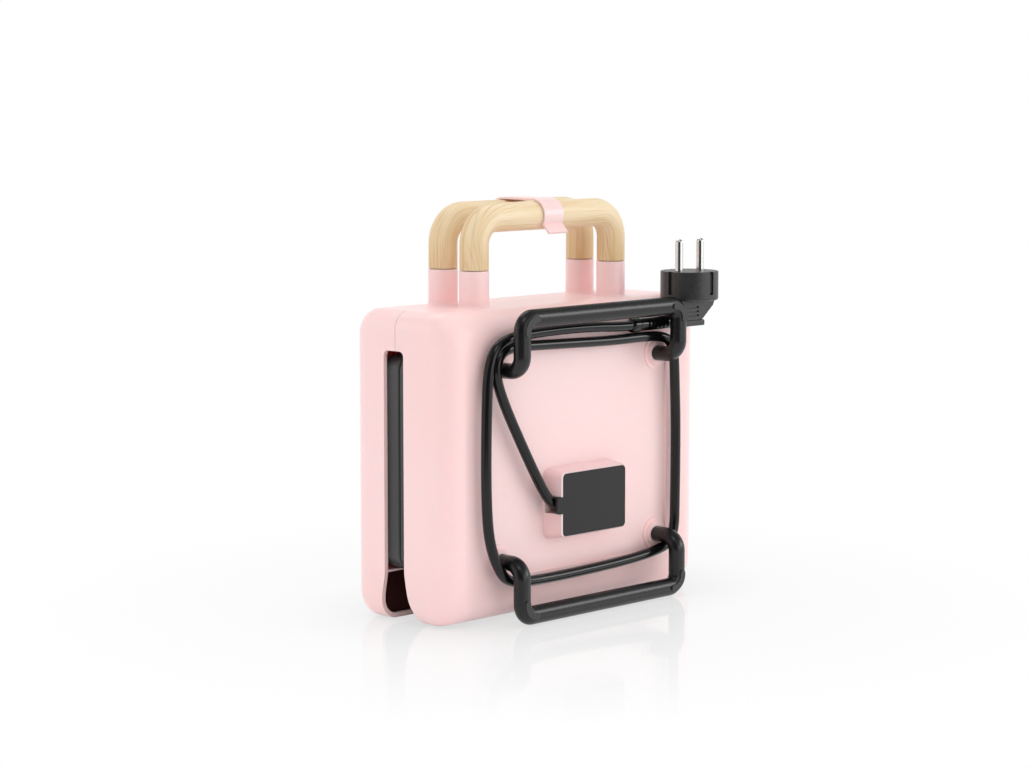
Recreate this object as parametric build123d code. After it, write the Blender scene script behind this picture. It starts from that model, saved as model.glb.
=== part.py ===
from build123d import *
import math
import os

# Sizes are in millimetres. While a piece is drawn, Y = 0 is the parting plane between the halves,
# the base lies towards -Y and the lid towards +Y, and Z = 0 is what the appliance stands on.

# Body
body_width = 214.8
body_bottom = 0.0
body_top = 175.6
base_depth = 41.2
lid_depth = 38.8
corner_radius = 10.5
face_inset = 15.5
face_rounding = 17.6
rounding_steps = 6
wall = 2.7
seam = 0.4
contact_gap = 0.02
cut_past = 1.0

# Sunk panel in the cord side, with a boss at each corner
panel_width = 151.0
panel_depth = 1.2
panel_corner = 10.0
boss_radius = 9.6
boss_height = 1.0
boss_step_radius = 7.2
boss_step_height = 2.6
boss_socket_radius = 7.0
boss_socket_floor = 3.0

# Slot down each side, which widens round the hinge
slot_top = 153.3
slot_corner = 3.0
slot_base_edge = 6.5
slot_lid_edge = 9.3
flare_top = 31.0
flare_base = [(16.5, -cut_past), (10.1, 13.0), (7.3, 24.0)]
flare_lid = [(11.0, -cut_past), (11.6, 12.5), (10.4, 21.0)]

# Handles
handle_span = 115.0
handle_offset = 12.5
handle_diameter = 16.6
handle_rise = 58.2
handle_screw_reach = 8.0
handle_bend = 15.2
stub_rise = 20.5
stub_diameter = 17.0
stub_fillet = 1.6
groove = 0.5
spigot_diameter = 12.0
spigot_length = 11.0
spigot_gap = 0.1

# Latch clip on the lid's handle
clip_width = 15.4
clip_x = -1.8
clip_thickness = 1.3
clip_gap = 0.3
clip_wrap = 30.0
clip_lip = 7.0
clip_lip_angle = 48.0
clip_tail_wrap = 130.0

# Bails that are feet and cord wrap
bail_span = 132.0
bail_plane = 58.4
bail_rise = 29.3
bail_drop = 3.7
bail_width = 10.6
bail_thickness = 8.8
bail_leg_bend = 8.7
bail_bar_bend = 7.2
bail_seat = 6.0
bail_screw_reach = 6.0
bail_gap = 0.1
pad_width = 3.8
pad_proud = 0.8
pad_overrun = 0.5
pad_sunk = 1.5

# Terminal box on the cord side
box_width = 59.6
box_height = 41.0
box_out = 12.5
box_draft = 10.0
box_corner = 5.0
box_wall = 2.0
box_rim = 0.8
box_centre_z = 63.0
notch_floor = 1.2
notch_run = 4.0
wire_hole_x = -8.0
wire_hole = 7.0
cover_width = 52.8
cover_height = 35.7
cover_thickness = 1.6
cover_corner = 2.5
cover_gap = 0.2
tongue_width = 9.5
tongue_length = 4.6
tongue_corner = 1.5
collar_length = 9.0
collar_diameter = 7.4
collar_groove = 0.7
clamp_height = 8.5
clamp_width = 22.0
clamp_thickness = 4.0
clamp_margin = 2.0
clamp_gap = 0.1
block_width = 18.0
block_height = 26.0
block_depth = 8.5
block_x = 8.0
block_pitch = 8.0
block_hole = 3.6

# Heating plates and the bezels that frame them
bezel_height = 121.6
bezel_bottom = 28.9
bezel_depth = 12.0
bezel_wall = 2.0
bezel_corner = 9.0
bezel_edge = 1.2
bezel_gap = 0.2
ledge_width = 3.0
ledge_thickness = 2.0
ledge_corner = 20.0
plate_width = 188.8
plate_height = 104.0
plate_corner = 10.0
plate_gap = 0.5
plate_rim = 3.0
plate_face = 0.3
pocket_width = 80.0
pocket_height = 82.0
pocket_depth = 10.0
pocket_wall = 2.4
pocket_taper = 22.0
pocket_corner = 6.0
pocket_ridge = 4.0
shield_width = 171.0
shield_height = 89.0
shield_back = 22.0
shield_sheet = 1.0
shield_corner = 12.0
shield_hole = 10.0
shield_hole_drop = 20.0
element_diameter = 6.4
element_inset = 22.0
element_gap = 14.0
element_tail = 18.0
element_bend = 8.0
thermostat_diameter = 14.0
thermostat_body = 5.0
thermostat_cap = 2.2
thermostat_step = 1.8
thermostat_rise = 6.0
fuse_diameter = 3.8
fuse_length = 18.0
fuse_rise = 24.0

# Screws, and the posts that take them
screw_diameter = 2.8
screw_gap = 0.1
screw_head_diameter = 5.6
screw_head = 1.6
screw_inset = 5.8
post_diameter = 7.0
plate_screw_length = 20.0

# Hinge, and the walls that close the wiring off from it
hinge_z = 12.0
hinge_x = 72.5
bracket_sheet = 2.0
bracket_gap = 0.4
bracket_eye = 5.0
bracket_foot = 12.0
bracket_reach = 5.0
hinge_pin_diameter = 4.0
hinge_pin_gap = 0.05
hinge_pin_head = 1.6
hinge_pin_head_diameter = 6.0
hinge_pin_tail = 1.5
partition = 1.2
partition_gap = 0.5
partition_edge = 5.6
wiring_cover_gap = 1.2
wiring_cover_sheet = 1.2
base_floor_edge = 7.6

# Indicator lights in the lid
lens_diameter = 8.0
lens_spacing = 26.0
lens_z = 150.0
lens_proud = 0.9
lens_flange = 1.5
lens_lip = 1.5
lens_dome = 0.7
lens_gap = 0.1
lamp_diameter = 4.6
lamp_length = 12.0

# Plug and strain relief
cord_diameter = 6.0
plug_x = 86.3
plug_y = 49.4
plug_radius = 17.2
plug_face_z = 190.6
plug_shoulder_z = 173.4
plug_edge = 0.6
plug_shoulder_edge = 1.4
plug_groove = 3.2
plug_groove_depth = 1.5
plug_groove_end = 177.0
plug_grip_y = 49.0
plug_grip_depth = 13.0
plug_grip_left = 72.0
plug_grip_right = 91.0
plug_grip_bottom = 161.6
plug_shoulder_inset = 0.6
plug_shoulder_drop = 3.6
plug_shoulder_slope = 1.8
plug_lip = 3.4
plug_lip_end = 1.6
plug_lip_side = 0.8
plug_lip_corner = 0.7
plug_lip_edge = 0.5
grip_lines = 3
grip_line_drop = 0.7
grip_line_pitch = 2.4
grip_line_x = 82.3
grip_line_length = 11.6
grip_line_depth = 0.8
grip_line_height = 1.1
contact_width = 2.6
contact_thickness = 0.6
contact_length = 11.0
contact_rise = 1.0
pin_diameter = 4.8
pin_length = 19.0
pin_spacing = 19.0
pin_tip_flat = 0.4
relief_knob_diameter = 8.6
relief_knob_length = 8.0
relief_knob_edge = 2.0
relief_diameter = 7.6
relief_overlap = 1.0
relief_slots = 6
relief_slot_width = 1.6
relief_slot_height = 5.2
relief_slot_depth = 1.8
relief_first_slot = 5.2
relief_pitch = 3.3

# The cord from the collar, once round the four bail legs and into the strain relief: X, Y, Z.
# Each bend takes up this share of the shorter of its two runs.
cord_bend_share = 0.45
cord_route = [
    (-21.5, -47.0, 62.4),
    (-26.0, -47.0, 62.4),
    (-31.6, -47.0, 65.6),
    (-36.2, -47.0, 70.9),
    (-41.0, -47.0, 77.8),
    (-49.8, -46.9, 92.0),
    (-64.6, -46.8, 117.0),
    (-72.4, -47.0, 132.0),
    (-76.2, -47.2, 143.6),
    (-72.0, -47.2, 152.8),
    (-61.4, -47.2, 155.8),
    (-43.0, -47.0, 155.2),
    (-14.0, -46.8, 154.4),
    (20.0, -46.8, 153.4),
    (46.0, -47.0, 153.8),
    (62.0, -47.2, 153.4),
    (72.2, -47.2, 150.2),
    (75.6, -47.2, 140.4),
    (76.8, -46.6, 127.0),
    (78.4, -46.2, 104.0),
    (78.5, -46.2, 77.0),
    (77.9, -46.4, 52.0),
    (77.2, -46.8, 37.8),
    (73.0, -47.0, 28.4),
    (58.6, -47.0, 25.2),
    (36.0, -46.8, 23.2),
    (4.0, -46.6, 22.0),
    (-32.0, -46.6, 21.4),
    (-57.0, -48.6, 22.6),
    (-69.4, -49.2, 25.2),
    (-76.8, -49.0, 34.4),
    (-80.6, -46.8, 49.0),
    (-82.4, -46.6, 70.0),
    (-82.6, -46.6, 98.0),
    (-82.2, -46.8, 124.0),
    (-81.4, -47.0, 142.0),
    (-76.8, -47.2, 155.4),
    (-64.8, -47.4, 161.0),
    (-47.0, -47.6, 162.4),
    (-18.0, -47.8, 163.0),
    (8.0, -47.9, 162.4),
    (26.0, -48.0, 161.2),
    (35.0, -48.0, 161.2),
]

# Places that follow from the sizes above
body_centre_z = (body_bottom + body_top) / 2
under_top = body_top - wall
handle_top = body_top + handle_rise
stub_top = body_top + stub_rise
plate_centre_z = bezel_bottom + bezel_height / 2
bezel_width = body_width - 2 * (wall + bezel_gap)
plate_back = plate_face + plate_rim + ledge_thickness
pocket_back = plate_face + pocket_depth + pocket_wall
panel_face = base_depth - panel_depth
box_front = panel_face + box_out
handle_axis_z = handle_top - handle_diameter / 2
leg_x = bail_span / 2
low_bar_z = bail_width / 2
low_leg_z = low_bar_z + bail_rise
high_bar_z = body_top - bail_drop
high_leg_z = high_bar_z - bail_rise
leg_end = panel_face + boss_step_height - bail_seat
pad_front = bail_plane + bail_thickness / 2 + pad_proud
screw_hole = screw_diameter / 2 + screw_gap
screw_x = plate_width / 2 - screw_inset
screw_z = plate_height / 2 - screw_inset
partition_top = bezel_bottom - partition_gap
lens_holes = [(-lens_spacing / 2, lens_z), (lens_spacing / 2, lens_z)]
collar_x, collar_y, collar_z = cord_route[0]
relief_x, relief_y, relief_z = cord_route[-1]
origin_y = (pad_front - lid_depth) / 2


def slab(outline, near, far):
    """An outline drawn in X and Z, thick from one depth Y to another."""
    return extrude(Plane.XZ.offset(-near) * outline, amount=near - far)


def rod(radius, start, end):
    """A round bar between two points."""
    line = Line(start, end)
    return sweep(Plane(origin=start, z_dir=line % 0) * Circle(radius), path=line)


def screw(head_at, head_to, tip):
    """A pan-head screw: its head between two points, and its shank on to the tip."""
    head = rod(screw_head_diameter / 2, head_at, head_to)
    return head + rod(screw_diameter / 2, head_to, tip)


def screw_corners():
    """The four corners of each half where a screw goes, as X and Z."""
    return [(sx * screw_x, plate_centre_z + sz * screw_z) for sx in (-1, 1) for sz in (-1, 1)]


def to_base(piece):
    """The same piece on the other side of the parting plane."""
    return mirror(piece, about=Plane.XZ)


def body_half(depth, inset):
    """One half of the body towards +Y, drawn in by an inset on its outer sides.

    The side walls run straight, then close in on the face along a quarter of an ellipse.
    """
    centre = Pos(0, body_centre_z)
    width = body_width - 2 * inset
    height = body_top - body_bottom - 2 * inset
    straight = depth - face_rounding
    near = seam / 2 if inset == 0 else 0.0
    sections = []
    for step in range(rounding_steps + 1):
        angle = math.radians(90 * step / rounding_steps)
        close = (face_inset - inset) * (1 - math.cos(angle))
        y = straight + (face_rounding - inset) * math.sin(angle)
        outline = RectangleRounded(width - 2 * close, height - 2 * close, corner_radius - inset)
        sections.append(Plane.XZ.offset(-y) * centre * outline)
    side = slab(centre * RectangleRounded(width, height, corner_radius - inset), near, straight)
    return side + loft(sections)


def side_slot(edge, flare):
    """The cut down both sides and along the hinge edge, in Y and Z, right through the body."""
    shoulder = slot_top - slot_corner
    curve = Spline(*flare, (edge, flare_top), tangents=((-0.1, 1), (0, 1)))
    side = Line((edge, flare_top), (edge, shoulder))
    bend = RadiusArc((edge, shoulder), (edge - slot_corner, slot_top), -slot_corner)
    start = flare[0]
    rest = Polyline((edge - slot_corner, slot_top), (-cut_past, slot_top), (-cut_past, start[1]), start)
    outline = make_face([curve, side, bend, rest])
    return extrude(Plane.YZ * outline, amount=body_width, both=True)


def handle_stubs():
    """The pair of stubs that carries a handle, towards +Y, each with a flared foot."""
    radius = stub_diameter / 2
    foot = radius + stub_fillet
    outline = make_face(
        [
            Polyline((0, under_top), (foot, under_top), (foot, body_top)),
            RadiusArc((foot, body_top), (radius, body_top + stub_fillet), stub_fillet),
            Polyline((radius, body_top + stub_fillet), (radius, stub_top), (0, stub_top), (0, under_top)),
        ]
    )
    stub = revolve(Plane.XZ * outline, Axis.Z)
    return [Pos(x, handle_offset) * stub for x in (-handle_span / 2, handle_span / 2)]


def stub_holes():
    """The seat of each handle end, and the screw hole below it."""
    holes = []
    for x in (-handle_span / 2, handle_span / 2):
        floor = stub_top - spigot_length - groove
        seat_top = (x, handle_offset, stub_top)
        seat_floor = (x, handle_offset, floor)
        holes.append(rod(spigot_diameter / 2 + spigot_gap, seat_floor, seat_top))
        holes.append(rod(screw_hole, (x, handle_offset, under_top - cut_past), seat_floor))
    return holes


def shell_half(depth, slot_edge, flare, floor_edge):
    """A hollow half of the body with stubs, screw posts and the wall that closes off the hinge."""
    inside = depth - wall
    shell = body_half(depth, 0) + handle_stubs()
    floor = Pos(0, (floor_edge + depth) / 2, partition_top - partition / 2) * Box(
        body_width, depth - floor_edge, partition
    )
    shell -= body_half(depth, wall) - floor
    shell -= side_slot(slot_edge, flare)
    for x, z in screw_corners():
        shell += rod(post_diameter / 2, (x, plate_back, z), (x, inside, z))
        shell -= rod(screw_hole, (x, plate_back - cut_past, z), (x, plate_back + plate_screw_length, z))
    shell -= stub_holes()
    return shell


def terminal_box():
    """The raised box on the cord side, with drafted walls and a soft rim."""
    outline = Pos(0, box_centre_z) * RectangleRounded(box_width, box_height, box_corner)
    solid = extrude(Plane.XZ.offset(panel_face) * outline, amount=box_out, taper=box_draft)
    rim = solid.faces().sort_by(Axis.Y)[0]
    return fillet(rim.edges(), box_rim)


def terminal_box_hollow():
    """What is cut out of the box: the room for the wires, the cover's seat and the cord's notch."""
    centre = Pos(0, box_centre_z)
    seat = centre * RectangleRounded(
        cover_width + 2 * cover_gap, cover_height + 2 * cover_gap, cover_corner + cover_gap
    )
    room = centre * RectangleRounded(
        cover_width - 2 * box_wall, cover_height - 2 * box_wall, cover_corner
    )
    notch = Pos(-box_width / 2, box_centre_z) * Rectangle(
        box_width - cover_width + 2 * box_wall + notch_run, tongue_width + 2 * cover_gap
    )
    wires = (wire_hole_x, -panel_face - cut_past, box_centre_z)
    inside = (wire_hole_x, wall - base_depth + cut_past, box_centre_z)
    return [
        slab(seat, -box_front - cut_past, -box_front + cover_thickness),
        slab(room, -box_front, -panel_face),
        slab(notch, -box_front - cut_past, -panel_face - notch_floor),
        rod(wire_hole / 2, wires, inside),
    ]


def base_shell():
    """The deeper, cord-side shell."""
    shell = to_base(shell_half(base_depth, slot_base_edge, flare_base, base_floor_edge))
    panel = Pos(0, (high_leg_z + low_leg_z) / 2) * RectangleRounded(
        panel_width, high_leg_z - low_leg_z + panel_width - bail_span, panel_corner
    )
    shell -= slab(panel, -base_depth - cut_past, -panel_face)
    inner = boss_socket_floor - leg_end
    for x in (-leg_x, leg_x):
        for z in (low_leg_z, high_leg_z):
            back = (x, inner, z)
            shell += rod(boss_socket_radius, back, (x, -panel_face, z))
            shell += rod(boss_radius, (x, -panel_face + panel_depth, z), (x, -panel_face - boss_height, z))
            shell += rod(boss_step_radius, (x, -panel_face, z), (x, -panel_face - boss_step_height, z))
            shell -= bail_leg(x, z, -leg_end, -bail_plane, bail_gap)
            shell -= rod(screw_hole, (x, -panel_face, z), (x, inner + cut_past, z))
    shell += terminal_box()
    shell -= terminal_box_hollow()
    return shell


def lid_shell():
    """The thinner shell, with the holes for the two indicator lenses."""
    shell = shell_half(lid_depth, slot_lid_edge, flare_lid, partition_edge)
    for x, z in lens_holes:
        outside = (x, lid_depth + cut_past, z)
        shell -= rod(lens_diameter / 2 + lens_gap, (x, lid_depth - 2 * wall, z), outside)
    return shell


def wiring_cover(depth, y):
    """The strip that closes a half's wiring off from the hinge, towards +Y."""
    strip = Pos(0, y + wiring_cover_sheet / 2, (partition_top - partition) / 2) * Box(
        body_width, wiring_cover_sheet, partition_top - partition
    )
    return strip & body_half(depth, wall + bezel_gap)


def handle():
    """The wood-look arch, towards +Y, with a turned spigot and a screw hole in each end."""
    half = handle_span / 2
    start_z = stub_top + groove
    path = FilletPolyline(
        (-half, handle_offset, start_z),
        (-half, handle_offset, handle_axis_z),
        (half, handle_offset, handle_axis_z),
        (half, handle_offset, start_z),
        radius=handle_bend,
    )
    arch = sweep(Plane(origin=path @ 0, z_dir=path % 0) * Circle(handle_diameter / 2), path=path)
    for x in (-half, half):
        end = (x, handle_offset, start_z - spigot_length)
        arch += rod(spigot_diameter / 2, end, (x, handle_offset, start_z))
        arch -= rod(screw_hole, end, (x, handle_offset, start_z + handle_screw_reach + cut_past))
    return arch


def handle_screws():
    """A screw up each stub into the handle's end."""
    screws = []
    for x in (-handle_span / 2, handle_span / 2):
        seat = (x, handle_offset, under_top - contact_gap)
        head = (x, handle_offset, under_top - contact_gap - screw_head)
        tip = (x, handle_offset, stub_top + handle_screw_reach)
        screws.append(screw(head, seat, tip))
    return Compound(children=screws)


def latch_clip():
    """A strip that is snapped round the lid's bar, runs over to the base's and ends in a lip."""
    middle = handle_diameter / 2 + clip_gap + clip_thickness / 2
    top = handle_axis_z + middle
    tail = CenterArc((handle_offset, handle_axis_z), middle, -clip_tail_wrap, 90 + clip_tail_wrap)
    strap = Line((handle_offset, top), (-handle_offset, top))
    wrap = CenterArc((-handle_offset, handle_axis_z), middle, 90, 90 + clip_wrap)
    fold = wrap @ 1
    slope = math.radians(clip_lip_angle)
    end = (fold.X - clip_lip * math.cos(slope), fold.Y - clip_lip * math.sin(slope))
    strip = trace([tail, strap, wrap, Line((fold.X, fold.Y), end)], line_width=clip_thickness)
    return extrude(Plane.YZ.offset(clip_x) * strip, amount=clip_width / 2, both=True)


def bail_oval(grow):
    """A bail's oval section, wide in the first direction of the plane that it is put on."""
    return Ellipse(bail_width / 2 + grow, bail_thickness / 2 + grow)


def bail_leg(x, z, near, far, grow):
    """The straight stretch of a bail's leg along Y, grown by a clearance where it is a hole."""
    return extrude(Plane((x, near, z), (1, 0, 0), (0, -1, 0)) * bail_oval(grow), amount=near - far)


def bail(leg_z, bar_z):
    """A cord-wrap foot: two legs out of the bosses, each turning along Z and then into the bar."""
    path = FilletPolyline(
        (-leg_x, -leg_end, leg_z),
        (-leg_x, -bail_plane, leg_z),
        (-leg_x, -bail_plane, bar_z),
        (leg_x, -bail_plane, bar_z),
        (leg_x, -bail_plane, leg_z),
        (leg_x, -leg_end, leg_z),
        radius=[bail_leg_bend, bail_bar_bend, bail_bar_bend, bail_leg_bend],
    )
    piece = sweep(Plane(path @ 0, (1, 0, 0), (0, -1, 0)) * bail_oval(0), path=path)
    for x in (-leg_x, leg_x):
        bottom = (x, -leg_end - bail_screw_reach - cut_past, leg_z)
        piece -= rod(screw_hole, bottom, (x, cut_past - leg_end, leg_z))
    return piece


def foot_pad(side, up, bar_z, proud):
    """One pad, which follows the corner's quarter turn and is round at both ends."""
    centre_x = side * (leg_x - bail_bar_bend)
    centre_z = bar_z - up * bail_bar_bend
    turn = math.degrees(pad_overrun / bail_bar_bend)
    start = {(1, 1): 0, (-1, 1): 90, (-1, -1): 180, (1, -1): 270}[(side, up)]
    arc = CenterArc((centre_x, centre_z), bail_bar_bend, start - turn, 90 + 2 * turn)
    strip = trace(arc, line_width=pad_width)
    for end in (arc @ 0, arc @ 1):
        strip += Pos(end.X, end.Y) * Circle(pad_width / 2)
    front = bail_plane + bail_thickness / 2
    return slab(strip, -front - proud, pad_sunk - front)


def pads(up, bar_z, proud):
    """The two pads of one bail, or the two recesses that they sit in."""
    return [foot_pad(side, up, bar_z, proud) for side in (-1, 1)]


def bail_screws():
    """A screw into the end of each bail leg, from inside the base."""
    screws = []
    head_y = boss_socket_floor - leg_end + contact_gap
    for x in (-leg_x, leg_x):
        for z in (low_leg_z, high_leg_z):
            tip = (x, -leg_end - bail_screw_reach, z)
            screws.append(screw((x, head_y + screw_head, z), (x, head_y, z), tip))
    return Compound(children=screws)


def terminal_cover():
    """The charcoal plate that closes the box, with the tongue over the cord collar."""
    plate = Pos(0, box_centre_z) * RectangleRounded(cover_width, cover_height, cover_corner)
    tongue = Pos(-cover_width / 2, box_centre_z) * RectangleRounded(
        2 * tongue_length, tongue_width, tongue_corner
    )
    return slab(plate + tongue, -box_front, cover_thickness - box_front)


def cord_collar():
    """The collar that the cord leaves by, with a groove round it for the clamp."""
    start = (collar_x, collar_y, collar_z)
    sleeve = rod(collar_diameter / 2, start, (collar_x + collar_length, collar_y, collar_z))
    near = collar_x + collar_length - clamp_thickness - clamp_margin
    far = near + clamp_thickness
    ring = rod(collar_diameter, (near, collar_y, collar_z), (far, collar_y, collar_z))
    ring -= rod(collar_diameter / 2 - collar_groove, (near, collar_y, collar_z), (far, collar_y, collar_z))
    return sleeve - ring


def cord_clamp():
    """A saddle on the box's floor that grips the collar in its groove."""
    x = collar_x + collar_length - clamp_margin - clamp_thickness / 2
    block = Pos(x, -panel_face - clamp_height / 2, collar_z) * Box(
        clamp_thickness - 2 * clamp_gap, clamp_height, clamp_width
    )
    bore = rod(
        collar_diameter / 2 - collar_groove + clamp_gap,
        (x - clamp_thickness, collar_y, collar_z),
        (x + clamp_thickness, collar_y, collar_z),
    )
    return block - bore


def terminal_block():
    """A three-way connector strip on the floor of the terminal box."""
    y = -panel_face - block_depth / 2
    body = Pos(block_x, y, box_centre_z) * Box(block_width, block_depth, block_height)
    for row in (-1, 0, 1):
        z = box_centre_z + row * block_pitch
        for side in (-1, 1):
            x = block_x + side * block_width / 4
            body -= rod(block_hole / 2, (x, y, z), (x, y - block_depth, z))
    return body


def bezel():
    """The black frame round a heating plate, towards +Y, with a ledge that the plate sits on."""
    centre = Pos(0, plate_centre_z)
    frame = slab(
        centre * RectangleRounded(bezel_width, bezel_height, bezel_corner), seam / 2, bezel_depth
    )
    frame = fillet(frame.faces().sort_by(Axis.Y)[0].edges(), bezel_edge)
    recess = RectangleRounded(
        plate_width + 2 * plate_gap, plate_height + 2 * plate_gap, plate_corner + plate_gap
    )
    window = RectangleRounded(
        plate_width - 2 * ledge_width, plate_height - 2 * ledge_width, ledge_corner
    )
    hollow = RectangleRounded(
        bezel_width - 2 * bezel_wall, bezel_height - 2 * bezel_wall, bezel_corner - bezel_wall
    )
    frame -= slab(centre * recess, 0, plate_face + plate_rim)
    frame -= slab(centre * window, 0, bezel_depth)
    frame -= slab(centre * hollow, plate_back, bezel_depth + cut_past)
    for x, z in screw_corners():
        frame -= rod(screw_hole, (x, 0, z), (x, bezel_depth, z))
    return frame


def pocket_outlines(grow):
    """The four triangles of a plate, in X and Z, each grown outwards by a distance."""
    outlines = []
    near = pocket_ridge / 2
    far = near + pocket_width
    half = pocket_height / 2
    for side in (-1, 1):
        corners = [(near, -half), (far, -half), (far, half), (near, half)]
        for three in ((0, 1, 3), (1, 2, 3)):
            points = [(side * corners[i][0], corners[i][1]) for i in three]
            triangle = make_face(Polyline(*points, close=True))
            triangle = offset(triangle, amount=-pocket_ridge / 2, kind=Kind.INTERSECTION)
            triangle = fillet(triangle.vertices(), pocket_corner)
            if grow:
                triangle = offset(triangle, amount=grow)
            outlines.append(Pos(0, plate_centre_z) * triangle)
    return outlines


def heating_plate():
    """A cast plate towards +Y: a flat rim and four triangular pockets with sloping walls."""
    rim = Pos(0, plate_centre_z) * RectangleRounded(plate_width, plate_height, plate_corner)
    plate = slab(rim, plate_face, plate_face + plate_rim)
    middle = plate_face + plate_rim / 2
    for outline in pocket_outlines(pocket_wall):
        start = Plane.XZ.offset(-middle) * outline
        plate += extrude(start, amount=middle - pocket_back, taper=pocket_taper)
    for outline in pocket_outlines(0):
        start = Plane.XZ.offset(-plate_face) * outline
        plate -= extrude(start, amount=-pocket_depth, taper=pocket_taper)
    for x, z in screw_corners():
        plate -= rod(screw_hole, (x, 0, z), (x, plate_back, z))
        plate -= rod(screw_head_diameter / 2 + screw_gap, (x, 0, z), (x, plate_face + screw_head, z))
    return plate


def plate_screws():
    """The screws through plate, bezel and shell post, heads let into the plate."""
    screws = []
    for x, z in screw_corners():
        seat = (x, plate_face + screw_head, z)
        tip = (x, plate_back + plate_screw_length - cut_past, z)
        screws.append(screw((x, plate_face, z), seat, tip))
    return Compound(children=screws)


def heat_shield():
    """A pressed tray behind the plate, towards +Y, that keeps its heat off the shell."""
    centre = Pos(0, plate_centre_z)
    outer = RectangleRounded(shield_width, shield_height, shield_corner)
    inner = RectangleRounded(
        shield_width - 2 * shield_sheet, shield_height - 2 * shield_sheet, shield_corner - shield_sheet
    )
    front = plate_face + plate_rim
    tray = slab(centre * outer, front, shield_back)
    tray -= slab(centre * inner, front, shield_back - shield_sheet)
    hole_z = plate_centre_z - shield_hole_drop
    return tray - rod(shield_hole / 2, (0, front, hole_z), (0, shield_back + cut_past, hole_z))


def heating_element():
    """A sheathed heater bent into an open loop against the backs of the pockets."""
    y = pocket_back + element_diameter / 2
    half_x = plate_width / 2 - element_inset
    low = plate_centre_z - plate_height / 2 + element_inset
    high = plate_centre_z + plate_height / 2 - element_inset
    end = low + element_tail
    path = FilletPolyline(
        (-element_gap, y, end),
        (-element_gap, y, low),
        (-half_x, y, low),
        (-half_x, y, high),
        (half_x, y, high),
        (half_x, y, low),
        (element_gap, y, low),
        (element_gap, y, end),
        radius=element_bend,
    )
    section = Plane(origin=path @ 0, z_dir=path % 0) * Circle(element_diameter / 2)
    return sweep(section, path=path)


def thermostat():
    """The disc thermostat on the back of the base's plate, between the pockets."""
    z = plate_centre_z + thermostat_rise
    rim = pocket_back + thermostat_body
    can = rod(thermostat_diameter / 2, (0, pocket_back, z), (0, rim, z))
    cap = rod(thermostat_diameter / 2 - thermostat_step, (0, rim, z), (0, rim + thermostat_cap, z))
    return to_base(can + cap)


def thermal_fuse():
    """The one-shot fuse in its sleeve beside the thermostat."""
    y = pocket_back + fuse_diameter / 2
    z = plate_centre_z + fuse_rise
    return to_base(rod(fuse_diameter / 2, (-fuse_length / 2, y, z), (fuse_length / 2, y, z)))


def hinge_brackets(on_lid):
    """The pair of brackets of one half. The lid's stand nearer the middle than the base's."""
    pair = []
    near = hinge_x if on_lid else hinge_x + bracket_sheet + bracket_gap
    bore = hinge_pin_diameter / 2 + (hinge_pin_gap if on_lid else 0)
    for side in (-1, 1):
        outline = Pos(0, hinge_z) * Circle(bracket_eye)
        arm_height = bezel_bottom - hinge_z
        outline += Pos((seam / 2 + bracket_reach) / 2, hinge_z + arm_height / 2) * Rectangle(
            bracket_reach - seam / 2, arm_height
        )
        start = near if side > 0 else -near - bracket_sheet
        plate = extrude(Plane.YZ.offset(start) * outline, amount=bracket_sheet)
        inwards = -side if on_lid else side
        foot_x = side * (near + bracket_sheet / 2) + inwards * bracket_foot / 2
        plate += Pos(foot_x, (seam / 2 + bracket_reach) / 2, bezel_bottom - bracket_sheet / 2) * Box(
            bracket_foot, bracket_reach - seam / 2, bracket_sheet
        )
        plate -= rod(bore, (start - cut_past, 0, hinge_z), (start + bracket_sheet + cut_past, 0, hinge_z))
        pair.append(plate if on_lid else to_base(plate))
    return Compound(children=pair)


def hinge_pins():
    """A headed pin through each pair of eyes, fixed in the base's bracket."""
    pins = []
    for side in (-1, 1):
        head = side * (hinge_x - bracket_gap)
        start = side * (hinge_x - bracket_gap - hinge_pin_head)
        end = side * (hinge_x + 2 * bracket_sheet + bracket_gap + hinge_pin_tail)
        pin = rod(hinge_pin_diameter / 2, (head, 0, hinge_z), (end, 0, hinge_z))
        pins.append(pin + rod(hinge_pin_head_diameter / 2, (start, 0, hinge_z), (head, 0, hinge_z)))
    return Compound(children=pins)


def indicator_lens(x, z):
    """A domed lens pushed through the lid from inside, with a flange behind the wall."""
    inside = lid_depth - wall
    body = rod(lens_diameter / 2, (x, inside - lens_flange, z), (x, lid_depth + lens_proud, z))
    rim = body.edges().filter_by(GeomType.CIRCLE).sort_by(Axis.Y)[-1]
    body = fillet(rim, lens_dome)
    return body + rod(lens_diameter / 2 + lens_lip, (x, inside - lens_flange, z), (x, inside, z))


def indicator_lamps():
    """The two small lamps behind the lenses."""
    back = lid_depth - wall - lens_flange
    return Compound(
        children=[rod(lamp_diameter / 2, (x, back - lamp_length, z), (x, back, z)) for x, z in lens_holes]
    )


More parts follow.
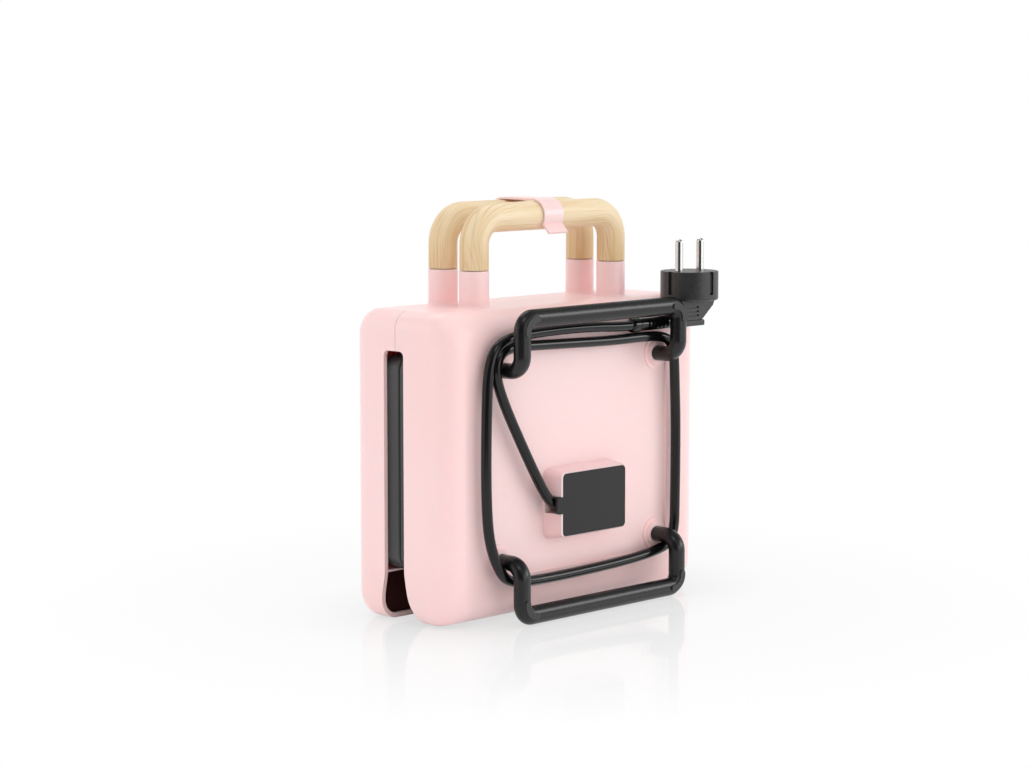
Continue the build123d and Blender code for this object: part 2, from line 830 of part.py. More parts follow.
def plug_body():
    """The angled plug, pins upwards: a round head and a tapering grip that ends in a lip."""
    head = Pos(plug_x, -plug_y, plug_shoulder_z) * Cylinder(
        plug_radius,
        plug_face_z - plug_shoulder_z,
        align=(Align.CENTER, Align.CENTER, Align.MIN),
    )
    head = fillet(head.edges().sort_by(Axis.Z)[-1], plug_edge)
    head = fillet(head.edges().sort_by(Axis.Z)[0], plug_shoulder_edge)
    groove_height = plug_face_z + cut_past - plug_groove_end
    for angle in (0, 90, 180, 270):
        turn = Pos(plug_x, -plug_y, plug_groove_end + groove_height / 2) * Rot(0, 0, angle)
        head -= turn * Pos(plug_radius, 0) * Box(2 * plug_groove_depth, plug_groove, groove_height)
    shoulder = plug_x + plug_radius - plug_shoulder_inset
    side_view = Polyline(
        (plug_grip_left, plug_shoulder_z),
        (shoulder, plug_shoulder_z),
        (shoulder - plug_shoulder_slope, plug_shoulder_z - plug_shoulder_drop),
        (plug_grip_right, plug_grip_bottom),
        (plug_grip_left, plug_grip_bottom),
        close=True,
    )
    outline = Plane.XZ.offset(plug_grip_y) * make_face(side_view)
    grip = extrude(outline, amount=plug_grip_depth / 2, both=True)
    for line in range(grip_lines):
        z = plug_shoulder_z - plug_shoulder_drop - grip_line_drop - line * grip_line_pitch
        grip -= Pos(grip_line_x, -plug_grip_y - plug_grip_depth / 2, z) * Box(
            grip_line_length, 2 * grip_line_depth, grip_line_height
        )
    return head + grip + plug_lip_bar()


def plug_lip_bar():
    """The lip along the grip's lower end, which the fingers pull on."""
    depth = plug_grip_depth + 2 * plug_lip_side
    start = Plane.YZ.offset(plug_grip_left) * Pos(-plug_grip_y, plug_grip_bottom - plug_lip / 2)
    bar = extrude(
        start * RectangleRounded(depth, plug_lip, plug_lip_corner),
        amount=plug_grip_right + plug_lip_end - plug_grip_left,
    )
    return fillet(bar.faces().sort_by(Axis.X)[-1].edges(), plug_lip_edge)


def plug_pins():
    """The two round pins, domed at the tip."""
    pins = []
    for side in (-1, 1):
        pin = Pos(plug_x + side * pin_spacing / 2, -plug_y, plug_face_z) * Cylinder(
            pin_diameter / 2, pin_length, align=(Align.CENTER, Align.CENTER, Align.MIN)
        )
        pins.append(fillet(pin.edges().sort_by(Axis.Z)[-1], pin_diameter / 2 - pin_tip_flat))
    return Compound(children=pins)


def earth_contacts():
    """The sprung strips in the front and back grooves of the plug's head."""
    strips = []
    depth = plug_radius - plug_groove_depth + contact_gap + contact_thickness / 2
    z = plug_groove_end + contact_rise + contact_length / 2
    for side in (-1, 1):
        strips.append(
            Pos(plug_x, side * depth - plug_y, z) * Box(contact_width, contact_thickness, contact_length)
        )
    return Compound(children=strips)


def strain_relief():
    """The ribbed sleeve between cord and plug, with slots cut across it and a rounded collar."""
    knob_end = relief_x + relief_knob_length
    knob = rod(relief_knob_diameter / 2, (relief_x, relief_y, relief_z), (knob_end, relief_y, relief_z))
    knob = fillet(knob.edges().filter_by(GeomType.CIRCLE), relief_knob_edge)
    start = (knob_end - relief_overlap, relief_y, relief_z)
    sleeve = knob + rod(relief_diameter / 2, start, (plug_grip_left, relief_y, relief_z))
    for i in range(relief_slots):
        x = knob_end + relief_first_slot + i * relief_pitch
        for side in (-1, 1):
            y = relief_y + side * relief_diameter / 2
            sleeve -= Pos(x, y, relief_z) * Box(
                relief_slot_width, 2 * relief_slot_depth, relief_slot_height
            )
    return sleeve


def power_cord():
    """The cord as straight runs joined by arcs, each as large as its two runs allow."""
    points = [Vector(*p) for p in cord_route]
    radii = []
    for before, here, after in zip(points, points[1:], points[2:]):
        turn = math.radians((here - before).get_angle(after - here))
        shorter = min((here - before).length, (after - here).length)
        radii.append(cord_bend_share * shorter / math.tan(turn / 2))
    path = FilletPolyline(*points, radius=radii)
    section = Plane(origin=path @ 0, z_dir=path % 0) * Circle(cord_diameter / 2)
    tube = sweep(section, path=path)
    print("cord radii", [round(r, 1) for r in radii])
    print("cord length", round(path.length, 1), "volume", round(tube.volume, 1))
    print("section times length", round(path.length * math.pi * cord_diameter**2 / 4, 1))
    return tube


def build():
    """Every piece under its node's name."""
    half_bezel = bezel()
    half_plate = heating_plate()
    half_screws = plate_screws()
    half_shield = heat_shield()
    half_element = heating_element()
    half_handle = handle()
    half_handle_screws = handle_screws()
    return {
        "base_shell": base_shell(),
        "lid_shell": lid_shell(),
        "base_handle": to_base(half_handle),
        "lid_handle": half_handle,
        "base_handle_screws": to_base(half_handle_screws),
        "lid_handle_screws": half_handle_screws,
        "latch_clip": latch_clip(),
        "top_bail": bail(high_leg_z, high_bar_z) - pads(1, high_bar_z, bail_thickness),
        "bottom_bail": bail(low_leg_z, low_bar_z) - pads(-1, low_bar_z, bail_thickness),
        "foot_pads": Compound(
            children=pads(1, high_bar_z, pad_proud) + pads(-1, low_bar_z, pad_proud)
        ),
        "bail_screws": bail_screws(),
        "terminal_cover": terminal_cover(),
        "cord_collar": cord_collar(),
        "cord_clamp": cord_clamp(),
        "terminal_block": terminal_block(),
        "base_bezel": to_base(half_bezel),
        "lid_bezel": half_bezel,
        "base_wiring_cover": to_base(wiring_cover(base_depth, flare_base[0][0] + wiring_cover_gap)),
        "lid_wiring_cover": wiring_cover(lid_depth, flare_lid[1][0] + wiring_cover_gap),
        "base_plate": to_base(half_plate),
        "lid_plate": half_plate,
        "base_plate_screws": to_base(half_screws),
        "lid_plate_screws": half_screws,
        "base_heat_shield": to_base(half_shield),
        "lid_heat_shield": half_shield,
        "base_heating_element": to_base(half_element),
        "lid_heating_element": half_element,
        "thermostat": thermostat(),
        "thermal_fuse": thermal_fuse(),
        "base_hinge_brackets": hinge_brackets(False),
        "lid_hinge_brackets": hinge_brackets(True),
        "hinge_pins": hinge_pins(),
        "power_lens": indicator_lens(*lens_holes[0]),
        "ready_lens": indicator_lens(*lens_holes[1]),
        "indicator_lamps": indicator_lamps(),
        "plug_body": plug_body(),
        "plug_pins": plug_pins(),
        "earth_contacts": earth_contacts(),
        "strain_relief": strain_relief(),
        "power_cord": power_cord(),
    }


os.makedirs("parts", exist_ok=True)
for node, piece in build().items():
    export_step(Pos(0, origin_y, 0) * piece, f"parts/{node}.step")
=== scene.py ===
import math
import bpy
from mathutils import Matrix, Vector

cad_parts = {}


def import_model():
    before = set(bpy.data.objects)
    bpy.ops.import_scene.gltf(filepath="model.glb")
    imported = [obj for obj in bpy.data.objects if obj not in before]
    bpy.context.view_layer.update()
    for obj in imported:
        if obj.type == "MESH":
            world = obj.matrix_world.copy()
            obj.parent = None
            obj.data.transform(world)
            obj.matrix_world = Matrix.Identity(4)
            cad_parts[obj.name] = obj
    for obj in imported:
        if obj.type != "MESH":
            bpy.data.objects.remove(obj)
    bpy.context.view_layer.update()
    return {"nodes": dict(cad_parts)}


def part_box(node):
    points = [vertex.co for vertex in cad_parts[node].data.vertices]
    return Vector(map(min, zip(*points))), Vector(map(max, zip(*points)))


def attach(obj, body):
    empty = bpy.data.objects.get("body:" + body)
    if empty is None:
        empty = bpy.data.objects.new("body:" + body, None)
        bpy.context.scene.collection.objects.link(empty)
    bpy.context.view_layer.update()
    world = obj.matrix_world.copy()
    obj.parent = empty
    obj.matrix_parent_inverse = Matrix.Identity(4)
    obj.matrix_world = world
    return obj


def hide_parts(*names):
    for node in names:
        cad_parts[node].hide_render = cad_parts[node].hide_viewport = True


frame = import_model()
nodes = frame["nodes"]

# Camera, fitted to the photograph: metres and degrees
PHOTO_WIDTH = 1028
SENSOR_MM = 36.0
FOCAL_PX = 2700.08
CAMERA_AT = (-1.13480, -1.07205, 0.30657)
CAMERA_HEADING = 45.99
CAMERA_DOWN = 6.559
CLIP_START = 0.05
CLIP_END = 50

# Studio: strength of the light all round, and what gloss sees of it, which is white but for a grey ceiling
# and a dark side towards FRONT, where the photographer stands. The ceiling starts and ends at sines of the
# height, and the dark side has its edge and its core at cosines of the angle from FRONT.
WORLD_STRENGTH = 0.915
CEILING = 0.35
CEILING_FROM = 0.35
CEILING_TO = 0.65
FRONT = (-0.707, -0.707, 0.0)
FRONT_LEVEL = 0.05
FRONT_EDGE = 0.62
FRONT_CORE = 0.93

# Lamps, all soft boxes: name, place, the point that it faces, width, height and watts
LAMPS = [
    ("front_right", (1.6, -1.54, 0.70), (0, 0, 0.17), 1.0, 0.65, 8.2),
    ("front", (0.4, -2.0, 0.35), (0, 0, 0.19), 1.0, 0.6, 2.5),
    ("back_left", (-1.7, 1.5, 0.8), (0, 0, 0.12), 1.2, 1.0, 2),
    ("high_front", (-0.75, -1.25, 2.0), (0, 0, 0.12), 0.7, 0.7, 4),
    ("top_back", (0.3, 1.0, 2.2), (0, 0, 0.12), 1.4, 1.4, 11),
]

# Floor: a little under the object, its shadow reaches a way out from it, and its mirror fades between two
# distances from the middle
FLOOR_SIZE = 1.2
FLOOR_DROP = 0.0004
FLOOR_SHADOW = 0.21
SHADOW_REACH = 0.07
FLOOR_MIRROR = 0.58
FLOOR_BLUR = 0.06
FLOOR_IOR = 1.45
FADE_NEAR = 0.09
FADE_FAR = 0.31

# Plastic and metal: how far roughness drifts to either side, and the darker tone of a metal's lines
PLASTIC_DRIFT = 0.05
METAL_SMOOTHER = 0.08
METAL_ROUGHER = 0.1
METAL_DARKER = 0.9

# Handle: bend of its centre line, and how far along it from its middle the wood turns from pale to the
# painted shade of the legs, darker and warmer
HANDLE_BEND = 0.0152
WOOD_UNSHADED_TO = 0.045
WOOD_SHADED_FROM = 0.075

# Wood grain: how fine each layer is, per metre along the bar, front to back and outwards
WIDE_GRAIN = (12, 110, 130)
DARK_LINES = (16, 620, 700)
PORES = (60, 2200, 2500)
PATCHES = (22, 60, 60)

# Wood colours, the tints that multiply them, how much the lines and the pores count, and the finish
MAPLE_DEEP = (0.77, 0.58, 0.35)
MAPLE = (0.83, 0.68, 0.46)
MAPLE_PALE = (0.86, 0.73, 0.54)
# Painted shade: the legs are tinted darker and warmer than the bar, where less light falls on them
LEG_SHADE_TINT = (0.88, 0.81, 0.69)
ARCH_TINT = (0.86, 0.74, 0.58)
LINE_TINT = (0.86, 0.78, 0.66)
PORE_TINT = (0.92, 0.88, 0.82)
NO_TINT = (1, 1, 1)
LINE_SHARE = 0.7
PORE_SHARE = 0.7
PORE_DEPTH = 0.00002
WOOD_SMOOTHEST = 0.36
WOOD_ROUGHEST = 0.50

# Growth rings: their heart's turn in degrees and its shift in metres, how far they are drawn out along the
# bar, their wave, and the span given to the noise of their patches, of which 0 to 1 counts
HEART_TURN = (0, 5, 8)
HEART_SHIFT = (0, 0.004, 0.006)
RING_STRETCH = (0.12, 1, 1)
RING_WAVE = {"Scale": 230.0, "Distortion": 6.0, "Detail": 2.0, "Detail_Scale": 0.4}
PATCH_LOW = -1.2
PATCH_HIGH = 1.6

# Cord: its size, and its route's points in metres, as in the part's source, which then shifts the whole
# part back along y
CORD_DIAMETER = 0.006
PART_SHIFT = 0.0124
CORD_ROUTE = [
    (-0.0215, -0.0470, 0.0624),
    (-0.0260, -0.0470, 0.0624),
    (-0.0316, -0.0470, 0.0656),
    (-0.0362, -0.0470, 0.0709),
    (-0.0410, -0.0470, 0.0778),
    (-0.0498, -0.0469, 0.0920),
    (-0.0646, -0.0468, 0.1170),
    (-0.0724, -0.0470, 0.1320),
    (-0.0762, -0.0472, 0.1436),
    (-0.0720, -0.0472, 0.1528),
    (-0.0614, -0.0472, 0.1558),
    (-0.0430, -0.0470, 0.1552),
    (-0.0140, -0.0468, 0.1544),
    (0.0200, -0.0468, 0.1534),
    (0.0460, -0.0470, 0.1538),
    (0.0620, -0.0472, 0.1534),
    (0.0722, -0.0472, 0.1502),
    (0.0756, -0.0472, 0.1404),
    (0.0768, -0.0466, 0.1270),
    (0.0784, -0.0462, 0.1040),
    (0.0785, -0.0462, 0.0770),
    (0.0779, -0.0464, 0.0520),
    (0.0772, -0.0468, 0.0378),
    (0.0730, -0.0470, 0.0284),
    (0.0586, -0.0470, 0.0252),
    (0.0360, -0.0468, 0.0232),
    (0.0040, -0.0466, 0.0220),
    (-0.0320, -0.0466, 0.0214),
    (-0.0570, -0.0486, 0.0226),
    (-0.0694, -0.0492, 0.0252),
    (-0.0768, -0.0490, 0.0344),
    (-0.0806, -0.0468, 0.0490),
    (-0.0824, -0.0466, 0.0700),
    (-0.0826, -0.0466, 0.0980),
    (-0.0822, -0.0468, 0.1240),
    (-0.0814, -0.0470, 0.1420),
    (-0.0768, -0.0472, 0.1554),
    (-0.0648, -0.0474, 0.1610),
    (-0.0470, -0.0476, 0.1624),
    (-0.0180, -0.0478, 0.1630),
    (0.0080, -0.0479, 0.1624),
    (0.0260, -0.0480, 0.1612),
    (0.0350, -0.0480, 0.1612),
]


def opaque(colour):
    """Three numbers of a colour with full alpha added, or a socket as it is."""
    return colour if isinstance(colour, bpy.types.NodeSocket) else (*colour, 1)


class Tree:
    """A node tree, with short calls for the nodes used here. A value is a socket, a number or a list of
    numbers."""

    def __init__(self, tree):
        self.tree = tree

    def feed(self, socket, value):
        """Links an input to another node's output, or sets it to a plain value."""
        if isinstance(value, bpy.types.NodeSocket):
            self.tree.links.new(value, socket)
        else:
            socket.default_value = value

    def node(self, kind, settings=(), **values):
        """Adds a node: settings go on the node, values into its inputs, with underscores for spaces."""
        made = self.tree.nodes.new(kind)
        for key, value in dict(settings).items():
            setattr(made, key, value)
        for key, value in values.items():
            self.feed(made.inputs[key.replace("_", " ")], value)
        return made

    def math(self, operation, first, second=0.0):
        """A sum or the like of two values."""
        made = self.node("ShaderNodeMath", {"operation": operation})
        self.feed(made.inputs[0], first)
        self.feed(made.inputs[1], second)
        return made.outputs[0]

    def fade(self, value, low, high, start=0.0, end=1.0, smooth=False):
        """Goes from low to high as the value goes from start to end, and stays level beyond them."""
        settings = {"interpolation_type": "SMOOTHSTEP" if smooth else "LINEAR"}
        made = self.node("ShaderNodeMapRange", settings, Value=value, From_Min=start, From_Max=end,
                         To_Min=low, To_Max=high)
        return made.outputs["Result"]

    def split(self, vector):
        """The x, y and z of a vector."""
        made = self.node("ShaderNodeSeparateXYZ", Vector=vector)
        return [made.outputs[axis] for axis in "XYZ"]

    def mixed(self, factor, first, second):
        """A mix of two shader nodes."""
        made = self.node("ShaderNodeMixShader", Fac=factor)
        self.feed(made.inputs[1], first.outputs[0])
        self.feed(made.inputs[2], second.outputs[0])
        return made

    def seen(self):
        """One for what the camera sees, straight, in gloss or through glass, and else nought."""
        path = self.node("ShaderNodeLightPath")
        bent = self.math("MAXIMUM", path.outputs["Is Glossy Ray"], path.outputs["Is Transmission Ray"])
        return self.math("MAXIMUM", path.outputs["Is Camera Ray"], bent)

    def background(self, strength):
        """A white background shader of one strength."""
        return self.node("ShaderNodeBackground", Color=(1, 1, 1, 1), Strength=strength)

    def replace(self, old, new, output):
        """Takes out the shader that the tree came with, and shows a new one."""
        self.tree.nodes.remove(self.tree.nodes[old])
        self.feed(self.tree.nodes[output].inputs["Surface"], new.outputs[0])


class Shader(Tree):
    """A material's node tree, round one Principled shader."""

    def __init__(self, name):
        self.material = bpy.data.materials.new(name)
        self.material.use_nodes = True
        super().__init__(self.material.node_tree)
        self.shader = self.tree.nodes["Principled BSDF"]

    def set(self, **values):
        """Sets plain values on the shader: the socket's name in lower case, with underscores."""
        names = {s.name.lower().replace(" ", "_"): s.name for s in self.shader.inputs}
        for key, value in values.items():
            self.shader.inputs[names[key]].default_value = value
        return self

    def link(self, socket, name):
        """Links a socket into the shader."""
        self.tree.links.new(socket, self.shader.inputs[name])

    def place(self):
        """Object coordinates in metres."""
        return self.node("ShaderNodeTexCoord").outputs["Object"]

    def mapped(self, vector, scale=(1, 1, 1), turn=(0, 0, 0), shift=(0, 0, 0)):
        """Another coordinate: scaled along its axes, turned by degrees and shifted."""
        rotation = [math.radians(a) for a in turn]
        made = self.node("ShaderNodeMapping", Vector=vector, Scale=scale, Rotation=rotation, Location=shift)
        return made.outputs["Vector"]

    def noise(self, vector, scale, detail=2.0, roughness=0.5, distortion=0.0):
        """Noise from 0 to 1."""
        made = self.node("ShaderNodeTexNoise", Vector=vector, Scale=scale, Detail=detail,
                         Roughness=roughness, Distortion=distortion)
        return made.outputs["Fac"]

    def ramp(self, value, *stops):
        """A colour ramp: each stop is (position, colour)."""
        made = self.node("ShaderNodeValToRGB", Fac=value)
        band = made.color_ramp
        while len(band.elements) < len(stops):
            band.elements.new(0.5)
        for element, (position, colour) in zip(band.elements, stops):
            element.position = position
            element.color = opaque(colour)
        return made.outputs["Color"]

    def mix(self, factor, first, second, blend="MIX"):
        """A mix of two colours. The node's inputs 0, 6 and 7 are its factor and colours, and output 2 is
        their mix."""
        made = self.node("ShaderNodeMix", {"data_type": "RGBA", "blend_type": blend})
        self.feed(made.inputs[0], factor)
        self.feed(made.inputs[6], opaque(first))
        self.feed(made.inputs[7], opaque(second))
        return made.outputs[2]

    def bump(self, height, distance):
        """Relief of a height from 0 to 1, as deep as the distance in metres."""
        made = self.node("ShaderNodeBump", Height=height, Distance=distance, Strength=1.0)
        self.link(made.outputs["Normal"], "Normal")


def paint(material, *names):
    """Gives CAD nodes one material."""
    for name in names:
        data = nodes[name].data
        data.materials.clear()
        data.materials.append(material)


def moulded(name, colour, shade, roughness, grain, depth, drift=9.0, **more):
    """Moulded plastic: a drift of colour towards its shade, fine texture and uneven gloss. Drift and grain
    are scales of noise, per metre, and depth is the texture's, in metres."""
    made = Shader(name)
    place = made.place()
    tone = made.noise(place, drift)
    made.link(made.ramp(tone, (0.3, colour), (0.7, shade)), "Base Color")
    fine = made.noise(place, grain, detail=3.0, roughness=0.6)
    made.link(made.fade(fine, roughness - PLASTIC_DRIFT, roughness + PLASTIC_DRIFT), "Roughness")
    made.bump(fine, depth)
    return made.set(**more).material


def metal(name, colour, roughness, stretch, grain, depth):
    """Bare metal with fine lines along one direction. Grain and depth are as for plastic."""
    made = Shader(name)
    lines = made.noise(made.mapped(made.place(), stretch), grain, detail=4.0, roughness=0.65)
    made.link(made.fade(lines, roughness - METAL_SMOOTHER, roughness + METAL_ROUGHER), "Roughness")
    darker = [c * METAL_DARKER for c in colour]
    made.link(made.ramp(lines, (0.2, darker), (0.8, colour)), "Base Color")
    made.bump(lines, depth)
    return made.set(metallic=1.0).material


def bar_coordinates(made):
    """Coordinates that follow the handle's bar round its bends: along it, front to back, and outwards."""
    low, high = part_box("lid_handle")
    radius = (high.y - low.y) / 2
    corner_x = high.x - radius - HANDLE_BEND
    corner_z = high.z - radius - HANDLE_BEND
    x, y, z = made.split(made.place())
    side = made.math("ABSOLUTE", x)
    over = made.math("MAXIMUM", made.math("SUBTRACT", side, corner_x), 0.0)
    up = made.math("MAXIMUM", made.math("SUBTRACT", z, corner_z), 0.0)
    out = made.math("SQRT", made.math("ADD", made.math("POWER", over, 2.0), made.math("POWER", up, 2.0)))
    turn = made.math("MULTIPLY", made.math("ARCTAN2", over, up), HANDLE_BEND)
    down = made.math("MAXIMUM", made.math("SUBTRACT", corner_z, z), 0.0)
    along = made.math("ADD", made.math("ADD", made.math("MINIMUM", side, corner_x), turn), down)
    signed = made.math("MULTIPLY", along, made.math("SIGN", x))
    return made.node("ShaderNodeCombineXYZ", X=signed, Y=y, Z=out).outputs["Vector"]


def rings(made, bar):
    """Growth rings round a heart that lies askew to the bar, so that they end in arches on its surface."""
    askew = made.mapped(bar, turn=HEART_TURN, shift=HEART_SHIFT)
    settings = {"wave_type": "RINGS", "rings_direction": "X", "wave_profile": "SIN"}
    wave = made.node("ShaderNodeTexWave", settings, Vector=made.mapped(askew, RING_STRETCH), **RING_WAVE)
    return wave.outputs["Fac"]


def wood():
    """Pale maple: grain that follows the bar round its bends, legs painted darker and warmer as painted
    shade, arched rings and fine pores.
    """
    made = Shader("maple")
    bar = bar_coordinates(made)
    along = made.math("ABSOLUTE", made.split(bar)[0])
    # Painted shade: from here out along the legs the wood is tinted darker and warmer
    leg_shade = made.fade(along, 0.0, 1.0, WOOD_UNSHADED_TO, WOOD_SHADED_FROM)
    wide = made.noise(made.mapped(bar, WIDE_GRAIN), 1.0, distortion=0.8)
    lines = made.noise(made.mapped(bar, DARK_LINES), 1.0, detail=3.0, roughness=0.65, distortion=0.5)
    fine = made.noise(made.mapped(bar, PORES), 1.0)
    patches = made.noise(made.mapped(bar, PATCHES), 1.0, detail=1.0)
    plain = made.ramp(wide, (0.30, MAPLE_DEEP), (0.48, MAPLE), (0.70, MAPLE_PALE))
    leg_shaded = made.mix(1.0, plain, made.mix(leg_shade, NO_TINT, LEG_SHADE_TINT), "MULTIPLY")
    arches = made.ramp(rings(made, bar), (0.02, ARCH_TINT), (0.30, NO_TINT))
    arched = made.mix(1.0, leg_shaded, arches, "MULTIPLY")
    patched = made.mix(made.fade(patches, PATCH_LOW, PATCH_HIGH), leg_shaded, arched)
    dark = made.ramp(lines, (0.34, LINE_TINT), (0.50, NO_TINT))
    streaks = made.ramp(fine, (0.35, PORE_TINT), (0.55, NO_TINT))
    grained = made.mix(LINE_SHARE, patched, dark, "MULTIPLY")
    made.link(made.mix(PORE_SHARE, grained, streaks, "MULTIPLY"), "Base Color")
    made.link(made.fade(fine, WOOD_SMOOTHEST, WOOD_ROUGHEST), "Roughness")
    made.bump(fine, PORE_DEPTH)
    return made.set(specular_ior_level=0.4).material


# Plastics: colour and shade, then the texture
PINK = (0.950, 0.670, 0.670)
PINK_SHADE = (0.940, 0.645, 0.630)
BLACK = (0.003, 0.003, 0.0035)
BLACK_SHADE = (0.005, 0.005, 0.0055)
pink = moulded("pink_satin", PINK, PINK_SHADE, roughness=0.30, grain=1500.0, depth=0.000003,
               subsurface_weight=0.35, subsurface_radius=(1.0, 0.42, 0.36), subsurface_scale=0.004)
black = moulded("bail_black", BLACK, BLACK_SHADE, roughness=0.27, grain=2600.0, depth=0.0000003,
                specular_ior_level=0.45)
lead = moulded("cord_black", BLACK, BLACK_SHADE, roughness=0.15, grain=2600.0, depth=0.000001,
               specular_ior_level=0.38)
pad = moulded("pad_rubber", (0.024, 0.025, 0.026), (0.032, 0.033, 0.034),
              roughness=0.42, grain=2200.0, depth=0.00001, specular_ior_level=0.4)
plug_black = moulded("plug_black", (0.007, 0.007, 0.0075), (0.022, 0.022, 0.0225),
                     roughness=0.40, grain=1500.0, depth=0.00006, drift=1100.0, specular_ior_level=0.65)
cover = moulded("cover_charcoal", (0.022, 0.022, 0.023), (0.026, 0.026, 0.027),
                roughness=0.55, grain=2600.0, depth=0.00001, specular_ior_level=0.25)
frame_black = moulded("bezel_black", (0.030, 0.032, 0.032), (0.048, 0.050, 0.050),
                      roughness=0.42, grain=1500.0, depth=0.00001)
# Painted shade: a very dark red-brown that stands for the deep shade inside the side slot
slot_shade = moulded("slot_brown", (0.022, 0.003, 0.003), (0.028, 0.005, 0.004),
                roughness=0.7, grain=1500.0, depth=0.00001, specular_ior_level=0.1)
cream = moulded("inner_cream", (0.72, 0.69, 0.62), (0.66, 0.63, 0.56),
                roughness=0.5, grain=1200.0, depth=0.00001)
coating = moulded("plate_coating", (0.020, 0.020, 0.021), (0.030, 0.030, 0.030),
                  roughness=0.33, grain=3000.0, depth=0.00002)

# Indicator lenses and lamps
red = moulded("red_lens", (0.55, 0.02, 0.015), (0.5, 0.018, 0.012),
              roughness=0.12, grain=400.0, depth=0.000002, transmission_weight=0.35)
green = moulded("green_lens", (0.02, 0.34, 0.06), (0.02, 0.3, 0.05),
                roughness=0.12, grain=400.0, depth=0.000002, transmission_weight=0.35)
lamp = moulded("lamp_glass", (0.95, 0.6, 0.4), (0.9, 0.5, 0.3),
               roughness=0.08, grain=300.0, depth=0.000001, transmission_weight=0.8)

# Metals
shield = metal("shield_sheet", (0.72, 0.72, 0.72),
               roughness=0.32, stretch=(1, 12, 12), grain=60.0, depth=0.00001)
# Painted shade: the earth contacts are darkened to near black for the shade in the plug's side slots
shaded_contact = metal("contact_brass", (0.05, 0.047, 0.042),
                roughness=0.45, stretch=(1, 1, 4), grain=200.0, depth=0.00001)
sheath = metal("element_sheath", (0.30, 0.28, 0.26),
               roughness=0.45, stretch=(1, 1, 1), grain=300.0, depth=0.00001)
steel = metal("bracket_steel", (0.60, 0.60, 0.60),
              roughness=0.30, stretch=(1, 8, 40), grain=90.0, depth=0.00001)
nickel = metal("nickel", (0.82, 0.82, 0.81),
               roughness=0.14, stretch=(90, 90, 6), grain=30.0, depth=0.000002)

paint(pink, "base_shell", "lid_shell", "latch_clip")
paint(wood(), "base_handle", "lid_handle")
paint(black, "top_bail", "bottom_bail")
paint(pad, "foot_pads")
paint(cover, "terminal_cover")
paint(lead, "cord_collar", "strain_relief")
paint(plug_black, "plug_body")
paint(nickel, "plug_pins")
# The earth contacts carry the painted shade of the plug's side slots
paint(shaded_contact, "earth_contacts")
paint(frame_black, "base_bezel", "lid_bezel")
# The wiring covers carry the side slot's painted shade
paint(slot_shade, "base_wiring_cover", "lid_wiring_cover")
paint(coating, "base_plate", "lid_plate")
paint(shield, "base_heat_shield", "lid_heat_shield", "thermostat")
paint(sheath, "base_heating_element", "lid_heating_element")
paint(steel, "base_hinge_brackets", "lid_hinge_brackets", "hinge_pins", "bail_screws", "base_handle_screws",
      "lid_handle_screws", "base_plate_screws", "lid_plate_screws")
paint(cream, "cord_clamp", "terminal_block", "thermal_fuse")
paint(red, "power_lens")
paint(green, "ready_lens")
paint(lamp, "indicator_lamps")


def cord():
    """The cord: one smooth curve from the collar round the bails to the strain relief."""
    curve = bpy.data.curves.new("power_lead", "CURVE")
    curve.dimensions = "3D"
    curve.resolution_u = 8
    curve.bevel_depth = CORD_DIAMETER / 2
    curve.bevel_resolution = 6
    curve.use_fill_caps = True
    spline = curve.splines.new("NURBS")
    spline.points.add(len(CORD_ROUTE) - 1)
    for point, (x, y, z) in zip(spline.points, CORD_ROUTE):
        point.co = (x, y + PART_SHIFT, z, 1)
    spline.order_u = 3
    spline.use_endpoint_u = True
    curve.materials.append(lead)
    piece = bpy.data.objects.new("power_lead", curve)
    bpy.context.scene.collection.objects.link(piece)
    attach(piece, "base")
    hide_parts("power_cord")
    x, y, z = CORD_ROUTE[0]


def camera():
    """The photograph's camera."""
    data = bpy.data.cameras.new("camera")
    data.sensor_width = SENSOR_MM
    data.sensor_fit = "HORIZONTAL"
    data.lens = FOCAL_PX * SENSOR_MM / PHOTO_WIDTH
    data.clip_start = CLIP_START
    data.clip_end = CLIP_END
    made = bpy.data.objects.new("camera", data)
    bpy.context.scene.collection.objects.link(made)
    heading = math.radians(CAMERA_HEADING)
    down = math.radians(CAMERA_DOWN)
    look = Vector((math.sin(heading) * math.cos(down), math.cos(heading) * math.cos(down), -math.sin(down)))
    made.location = CAMERA_AT
    made.rotation_euler = look.to_track_quat("-Z", "Y").to_euler()
    bpy.context.scene.camera = made


def area_light(name, at, aim, width, height, power):
    """A soft box that points at a place."""
    data = bpy.data.lights.new(name, "AREA")
    data.shape = "RECTANGLE"
    data.size = width
    data.size_y = height
    data.energy = power
    made = bpy.data.objects.new(name, data)
    bpy.context.scene.collection.objects.link(made)
    made.location = at
    made.rotation_euler = (Vector(aim) - Vector(at)).to_track_quat("-Z", "Y").to_euler()


def studio_levels(tree):
    """What gloss sees: white, with a grey ceiling and a dark side in front of the object."""
    direction = tree.node("ShaderNodeTexCoord").outputs["Generated"]
    height = tree.split(direction)[2]
    ceiling = tree.fade(height, 1.0, CEILING, CEILING_FROM, CEILING_TO, smooth=True)
    near = tree.node("ShaderNodeVectorMath", {"operation": "DOT_PRODUCT"})
    tree.feed(near.inputs[0], direction)
    tree.feed(near.inputs[1], FRONT)
    front = tree.fade(near.outputs["Value"], 1.0, FRONT_LEVEL, FRONT_EDGE, FRONT_CORE, smooth=True)
    return tree.math("MULTIPLY", ceiling, front)


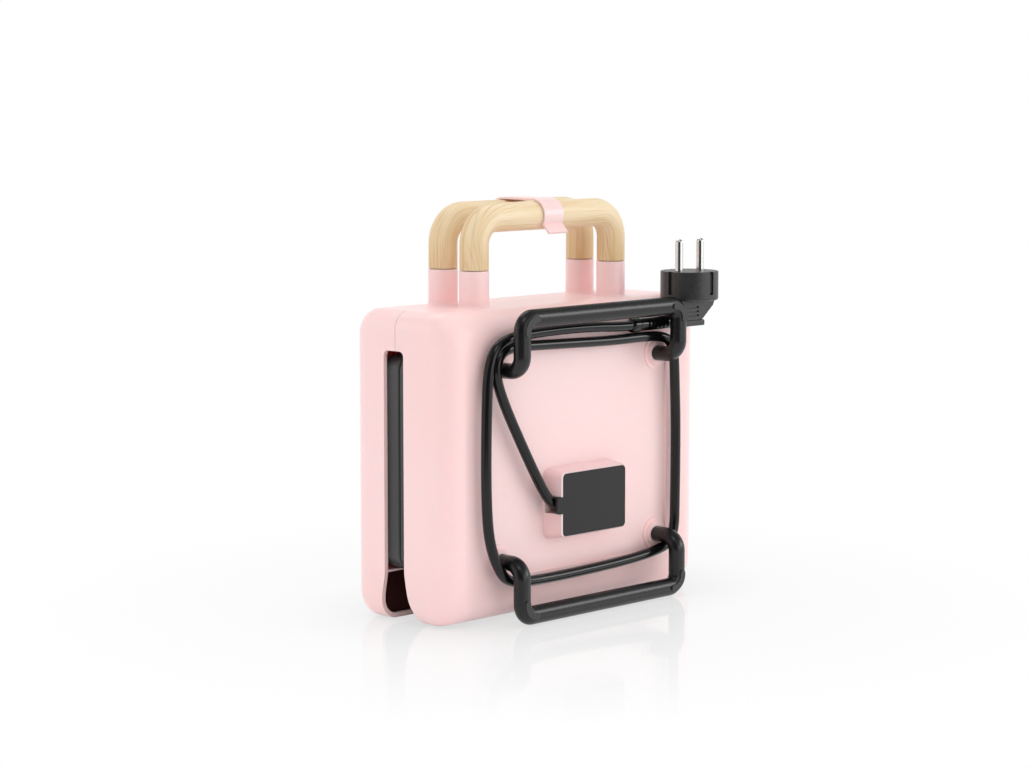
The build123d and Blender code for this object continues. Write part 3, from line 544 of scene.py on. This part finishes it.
def world():
    """Even light all round, seen as plain white, and in gloss as a studio."""
    made = bpy.data.worlds.new("studio")
    bpy.context.scene.world = made
    made.use_nodes = True
    tree = Tree(made.node_tree)
    path = tree.node("ShaderNodeLightPath")
    studio = tree.background(studio_levels(tree))
    shown = tree.mixed(path.outputs["Is Camera Ray"], studio, tree.background(1.0))
    light = tree.mixed(tree.seen(), tree.background(WORLD_STRENGTH), shown)
    tree.replace("Background", light, "World Output")


def floor_material():
    """White, with the object's soft shadow and faint mirror. The camera sees through the white, so that
    the lid, which opens past the floor's level, shows whole."""
    made = bpy.data.materials.new("floor")
    made.use_nodes = True
    tree = Tree(made.node_tree)
    coords = tree.node("ShaderNodeTexCoord")
    path = tree.node("ShaderNodeLightPath")
    open_sky = tree.node("ShaderNodeAmbientOcclusion", Distance=SHADOW_REACH).outputs["AO"]
    shade = tree.fade(open_sky, 1 - FLOOR_SHADOW, 1.0)
    glow = tree.node("ShaderNodeEmission", Strength=shade)
    clear = tree.node("ShaderNodeBsdfTransparent", Color=shade)
    white = tree.mixed(path.outputs["Is Camera Ray"], glow, clear)
    distance = tree.node("ShaderNodeVectorMath", {"operation": "LENGTH"}, Vector=coords.outputs["Object"])
    nearness = tree.fade(distance.outputs["Value"], 1.0, 0.0, FADE_NEAR, FADE_FAR)
    fresnel = tree.node("ShaderNodeFresnel", IOR=FLOOR_IOR)
    shine = tree.math("MULTIPLY", tree.math("MULTIPLY", nearness, FLOOR_MIRROR), fresnel.outputs[0])
    mirror = tree.node("ShaderNodeBsdfGlossy", Roughness=FLOOR_BLUR)
    shown = tree.mixed(shine, white, mirror)
    lit = tree.node("ShaderNodeBsdfDiffuse", Color=(1, 1, 1, 1))
    tree.replace("Principled BSDF", tree.mixed(tree.seen(), lit, shown), "Material Output")
    return made


def floor():
    """A square floor under the object."""
    data = bpy.data.meshes.new("floor")
    half = FLOOR_SIZE / 2
    corners = [(-half, -half, 0), (half, -half, 0), (half, half, 0), (-half, half, 0)]
    data.from_pydata(corners, [], [(0, 1, 2, 3)])
    data.materials.append(floor_material())
    made = bpy.data.objects.new("floor", data)
    made.location.z = -FLOOR_DROP
    bpy.context.scene.collection.objects.link(made)


cord()
camera()
world()
floor()
for soft_box in LAMPS:
    area_light(*soft_box)

bpy.context.scene.view_settings.view_transform = "Standard"
